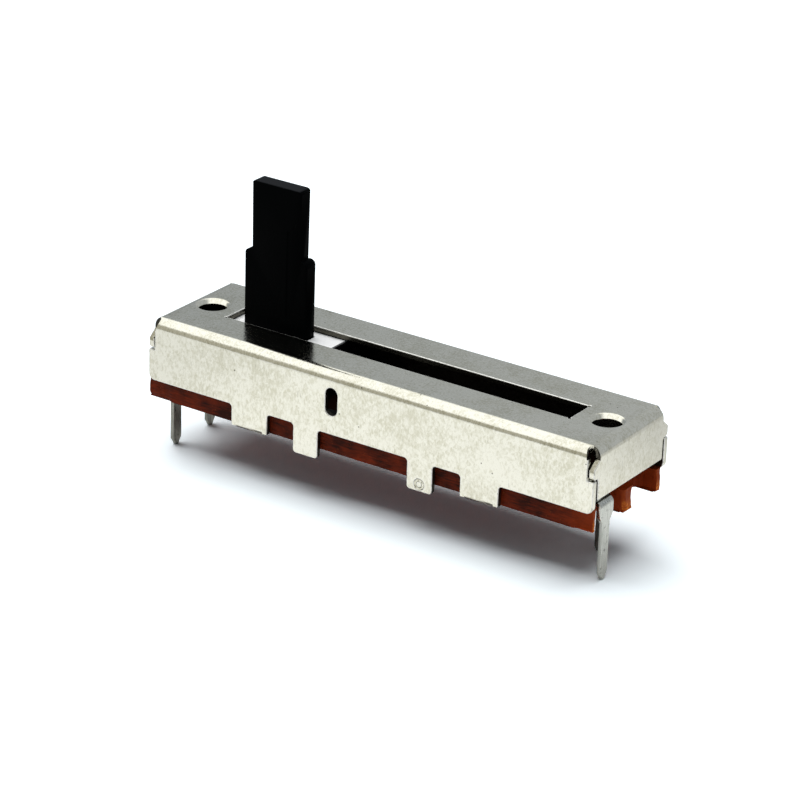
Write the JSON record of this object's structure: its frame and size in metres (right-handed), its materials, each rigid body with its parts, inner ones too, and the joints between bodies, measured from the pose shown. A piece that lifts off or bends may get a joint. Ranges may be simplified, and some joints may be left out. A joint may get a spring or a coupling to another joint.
{
  "type": "slide potentiometer",
  "caption": "Slide potentiometer with a folded metal cover, a slot, a black lever that travels along it, panel mounting holes, and solder terminals under a phenolic board.",
  "frame": {"origin": "midway between the two panel mounting holes, on the outer face of the cover", "axes": "+X along the slot, from the lever's rest end to its far end; +Z out of the panel face, along the lever; +Y to the side away from the wall with the gauge window"},
  "size_m": [0.0351, 0.0092, 0.0194],
  "materials": {
    "cover": "tin-plated steel sheet, satin",
    "board": "phenolic paper laminate, punched edges",
    "carbon": "printed carbon",
    "silver_print": "printed silver",
    "terminal": "tinned",
    "eyelet": "tinned, turned over at both ends",
    "lever": "moulded black acetal, satin",
    "carriage": "moulded white acetal",
    "wiper": "rolled phosphor bronze",
    "spring": "rolled spring steel"
  },
  "bodies": {
    "housing": {"cover": "cover", "element_board": "board", "resistive_track": "carbon", "collector_track": "carbon", "resistive_pad_left": "silver_print", "resistive_pad_right": "silver_print", "collector_pad_left": "silver_print", "collector_pad_right": "silver_print", "terminal_1": "terminal", "terminal_2": "terminal", "terminal_3": "terminal", "terminal_4": "terminal", "eyelet_1": "eyelet", "eyelet_2": "eyelet", "eyelet_3": "eyelet", "eyelet_4": "eyelet"},
    "slider": {"lever": "lever", "carriage": "carriage", "wiper": "wiper", "drag_spring": "spring"}
  },
  "joints": [
    {"name": "lever_slide", "type": "slide", "parent": "housing", "child": "slider", "axis": [1, 0, 0], "range_m": [0, 0.02]}
  ]
}
